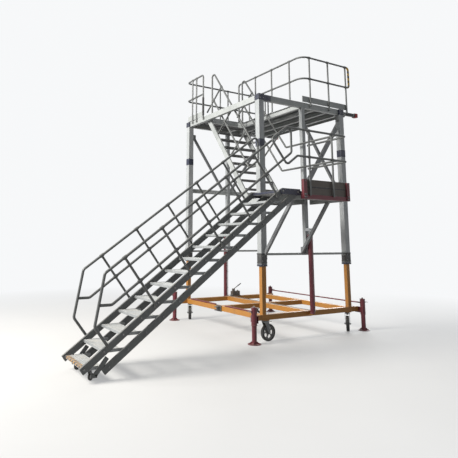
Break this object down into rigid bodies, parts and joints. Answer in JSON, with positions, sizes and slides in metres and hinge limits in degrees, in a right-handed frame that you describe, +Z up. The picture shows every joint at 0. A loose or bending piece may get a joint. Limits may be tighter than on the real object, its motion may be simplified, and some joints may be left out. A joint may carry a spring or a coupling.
{
  "type": "aircraft maintenance stand",
  "caption": "Wheeled aircraft maintenance stand: lifting tower with railed top deck, side landing, fixed inner stair and a self-levelling lower flight on its own castors.",
  "frame": {"origin": "floor level, middle of the stand's footprint", "axes": "+X runs up the lower flight towards the tower, +Y runs from the landing side to the far side of the tower, +Z is up"},
  "size_m": [6.824, 4.3654, 6.0375],
  "materials": {
    "mill_aluminium": "mill, lightly oxidised",
    "tread_aluminium": "ribbed mill, worn",
    "tube_aluminium": "satin",
    "dark_tread": "dull, dusty",
    "ochre_paint": "semi-gloss, worn",
    "maroon_paint": "semi-gloss, worn",
    "navy_paint": "satin",
    "dark_paint": "satin",
    "red_rubber": "matt",
    "chromed_steel": "polished",
    "galvanised_steel": "galvanised",
    "wheel_tyre": "matt, dusty",
    "cast_hub": "painted casting",
    "small_wheel": "matt"
  },
  "bodies": {
    "base": {"base_frame": "ochre_paint", "inner_posts": "ochre_paint", "jack_sleeves": "maroon_paint", "pump_unit": "maroon_paint", "ram_barrels": "maroon_paint", "stay_rods": "mill_aluminium", "tow_bracket": "dark_paint"},
    "tower": {"outer_posts": "mill_aluminium", "post_collars": "navy_paint", "deck_frame": "mill_aluminium", "braces": "mill_aluminium", "deck_planks": "tread_aluminium", "toe_boards": "mill_aluminium", "deck_guardrail": "tube_aluminium", "bumper_pads": "red_rubber", "ram_rods": "chromed_steel", "landing_frame": "mill_aluminium", "landing_front": "maroon_paint", "landing_panels": "dark_paint", "flight_heads": "navy_paint", "landing_guardrail": "tube_aluminium", "stair_stringers": "mill_aluminium", "stair_treads": "dark_tread", "stair_handrails": "tube_aluminium"},
    "flight": {"flight_stringers": "mill_aluminium", "flight_handrails": "tube_aluminium"},
    "link": {"link_stringers": "mill_aluminium"},
    "jack_near_left": {"jack_leg_near_left": "maroon_paint"},
    "castor_near_left": {"castor_fork_near_left": "galvanised_steel"},
    "wheel_near_left": {"castor_tyre_near_left": "wheel_tyre", "castor_hub_near_left": "cast_hub"},
    "jack_far_left": {"jack_leg_far_left": "maroon_paint"},
    "castor_far_left": {"castor_fork_far_left": "galvanised_steel"},
    "wheel_far_left": {"castor_tyre_far_left": "wheel_tyre", "castor_hub_far_left": "cast_hub"},
    "jack_near_right": {"jack_leg_near_right": "maroon_paint"},
    "castor_near_right": {"castor_fork_near_right": "galvanised_steel"},
    "wheel_near_right": {"castor_tyre_near_right": "wheel_tyre", "castor_hub_near_right": "cast_hub"},
    "jack_far_right": {"jack_leg_far_right": "maroon_paint"},
    "castor_far_right": {"castor_fork_far_right": "galvanised_steel"},
    "wheel_far_right": {"castor_tyre_far_right": "wheel_tyre", "castor_hub_far_right": "cast_hub"},
    "step_01": {"tread_01": "tread_aluminium"},
    "step_02": {"tread_02": "tread_aluminium"},
    "step_03": {"tread_03": "tread_aluminium"},
    "step_04": {"tread_04": "tread_aluminium"},
    "step_05": {"tread_05": "tread_aluminium"},
    "step_06": {"tread_06": "tread_aluminium"},
    "step_07": {"tread_07": "tread_aluminium"},
    "step_08": {"tread_08": "tread_aluminium"},
    "step_09": {"tread_09": "tread_aluminium"},
    "step_10": {"tread_10": "tread_aluminium"},
    "step_11": {"tread_11": "tread_aluminium"},
    "step_12": {"tread_12": "tread_aluminium"},
    "step_13": {"tread_13": "tread_aluminium"},
    "small_castor_near": {"small_fork_near": "galvanised_steel"},
    "small_roller_near": {"small_wheel_near": "small_wheel"},
    "small_castor_far": {"small_fork_far": "galvanised_steel"},
    "small_roller_far": {"small_wheel_far": "small_wheel"}
  },
  "joints": [
    {"name": "tower_lift", "type": "slide", "parent": "base", "child": "tower", "axis": [0, 0, 1], "range_m": [0, 0.8]},
    {"name": "jack_near_left_slide", "type": "slide", "parent": "base", "child": "jack_near_left", "axis": [0, 0, 1], "range_m": [0, 0.2]},
    {"name": "castor_near_left_swivel", "type": "hinge", "parent": "base", "child": "castor_near_left", "pos_m": [0.52196, -1.01425, 0.38], "axis": [0, 0, 1], "continuous": true},
    {"name": "wheel_near_left_spin", "type": "hinge", "parent": "castor_near_left", "child": "wheel_near_left", "pos_m": [0.58696, -1.01425, 0.16], "axis": [0, 1, 0], "continuous": true},
    {"name": "jack_far_left_slide", "type": "slide", "parent": "base", "child": "jack_far_left", "axis": [0, 0, 1], "range_m": [0, 0.2]},
    {"name": "castor_far_left_swivel", "type": "hinge", "parent": "base", "child": "castor_far_left", "pos_m": [0.52196, 1.93575, 0.38], "axis": [0, 0, 1], "continuous": true},
    {"name": "wheel_far_left_spin", "type": "hinge", "parent": "castor_far_left", "child": "wheel_far_left", "pos_m": [0.55446, 1.99204, 0.16], "axis": [-0.866, 0.5, 0], "continuous": true},
    {"name": "jack_near_right_slide", "type": "slide", "parent": "base", "child": "jack_near_right", "axis": [0, 0, 1], "range_m": [0, 0.2]},
    {"name": "castor_near_right_swivel", "type": "hinge", "parent": "base", "child": "castor_near_right", "pos_m": [2.77196, -1.01425, 0.38], "axis": [0, 0, 1], "continuous": true},
    {"name": "wheel_near_right_spin", "type": "hinge", "parent": "castor_near_right", "child": "wheel_near_right", "pos_m": [2.72442, -1.05858, 0.16], "axis": [0.682, -0.7314, 0], "continuous": true},
    {"name": "jack_far_right_slide", "type": "slide", "parent": "base", "child": "jack_far_right", "axis": [0, 0, 1], "range_m": [0, 0.2]},
    {"name": "castor_far_right_swivel", "type": "hinge", "parent": "base", "child": "castor_far_right", "pos_m": [2.77196, 1.93575, 0.38], "axis": [0, 0, 1], "continuous": true},
    {"name": "wheel_far_right_spin", "type": "hinge", "parent": "castor_far_right", "child": "wheel_far_right", "pos_m": [2.71567, 1.96825, 0.16], "axis": [-0.5, -0.866, 0], "continuous": true},
    {"name": "flight_pitch", "type": "hinge", "parent": "tower", "child": "flight", "pos_m": [0.16396, -1.58425, 2.778], "axis": [0, 1, 0], "range_deg": [-15, 1]},
    {"name": "link_pitch", "type": "hinge", "parent": "tower", "child": "link", "pos_m": [0.51396, -1.58425, 2.778], "axis": [0, 1, 0], "range_deg": [-15, 1]},
    {"name": "step_01_level", "type": "hinge", "parent": "flight", "child": "step_01", "pos_m": [-3.34604, -1.58425, 0.178], "axis": [0, 1, 0], "range_deg": [-1, 15]},
    {"name": "step_02_level", "type": "hinge", "parent": "flight", "child": "step_02", "pos_m": [-3.07604, -1.58425, 0.378], "axis": [0, 1, 0], "range_deg": [-1, 15]},
    {"name": "step_03_level", "type": "hinge", "parent": "flight", "child": "step_03", "pos_m": [-2.80604, -1.58425, 0.578], "axis": [0, 1, 0], "range_deg": [-1, 15]},
    {"name": "step_04_level", "type": "hinge", "parent": "flight", "child": "step_04", "pos_m": [-2.53604, -1.58425, 0.778], "axis": [0, 1, 0], "range_deg": [-1, 15]},
    {"name": "step_05_level", "type": "hinge", "parent": "flight", "child": "step_05", "pos_m": [-2.26604, -1.58425, 0.978], "axis": [0, 1, 0], "range_deg": [-1, 15]},
    {"name": "step_06_level", "type": "hinge", "parent": "flight", "child": "step_06", "pos_m": [-1.99604, -1.58425, 1.178], "axis": [0, 1, 0], "range_deg": [-1, 15]},
    {"name": "step_07_level", "type": "hinge", "parent": "flight", "child": "step_07", "pos_m": [-1.72604, -1.58425, 1.378], "axis": [0, 1, 0], "range_deg": [-1, 15]},
    {"name": "step_08_level", "type": "hinge", "parent": "flight", "child": "step_08", "pos_m": [-1.45604, -1.58425, 1.578], "axis": [0, 1, 0], "range_deg": [-1, 15]},
    {"name": "step_09_level", "type": "hinge", "parent": "flight", "child": "step_09", "pos_m": [-1.18604, -1.58425, 1.778], "axis": [0, 1, 0], "range_deg": [-1, 15]},
    {"name": "step_10_level", "type": "hinge", "parent": "flight", "child": "step_10", "pos_m": [-0.91604, -1.58425, 1.978], "axis": [0, 1, 0], "range_deg": [-1, 15]},
    {"name": "step_11_level", "type": "hinge", "parent": "flight", "child": "step_11", "pos_m": [-0.64604, -1.58425, 2.178], "axis": [0, 1, 0], "range_deg": [-1, 15]},
    {"name": "step_12_level", "type": "hinge", "parent": "flight", "child": "step_12", "pos_m": [-0.37604, -1.58425, 2.378], "axis": [0, 1, 0], "range_deg": [-1, 15]},
    {"name": "step_13_level", "type": "hinge", "parent": "flight", "child": "step_13", "pos_m": [-0.10604, -1.58425, 2.578], "axis": [0, 1, 0], "range_deg": [-1, 15]},
    {"name": "small_castor_near_swivel", "type": "hinge", "parent": "step_01", "child": "small_castor_near", "pos_m": [-3.22804, -1.90725, 0.14], "axis": [0, 0, 1], "continuous": true},
    {"name": "small_roller_near_spin", "type": "hinge", "parent": "small_castor_near", "child": "small_roller_near", "pos_m": [-3.20379, -1.89325, 0.05], "axis": [-0.5, 0.866, 0], "continuous": true},
    {"name": "small_castor_far_swivel", "type": "hinge", "parent": "step_01", "child": "small_castor_far", "pos_m": [-3.22804, -1.26125, 0.14], "axis": [0, 0, 1], "continuous": true},
    {"name": "small_roller_far_spin", "type": "hinge", "parent": "small_castor_far", "child": "small_roller_far", "pos_m": [-3.20173, -1.25167, 0.05], "axis": [-0.342, 0.9397, 0], "continuous": true}
  ],
  "couplings": [
    {"joint": "link_pitch", "follows": "flight_pitch", "ratio": 1},
    {"joint": "step_01_level", "follows": "flight_pitch", "ratio": -1},
    {"joint": "step_02_level", "follows": "flight_pitch", "ratio": -1},
    {"joint": "step_03_level", "follows": "flight_pitch", "ratio": -1},
    {"joint": "step_04_level", "follows": "flight_pitch", "ratio": -1},
    {"joint": "step_05_level", "follows": "flight_pitch", "ratio": -1},
    {"joint": "step_06_level", "follows": "flight_pitch", "ratio": -1},
    {"joint": "step_07_level", "follows": "flight_pitch", "ratio": -1},
    {"joint": "step_08_level", "follows": "flight_pitch", "ratio": -1},
    {"joint": "step_09_level", "follows": "flight_pitch", "ratio": -1},
    {"joint": "step_10_level", "follows": "flight_pitch", "ratio": -1},
    {"joint": "step_11_level", "follows": "flight_pitch", "ratio": -1},
    {"joint": "step_12_level", "follows": "flight_pitch", "ratio": -1},
    {"joint": "step_13_level", "follows": "flight_pitch", "ratio": -1}
  ]
}
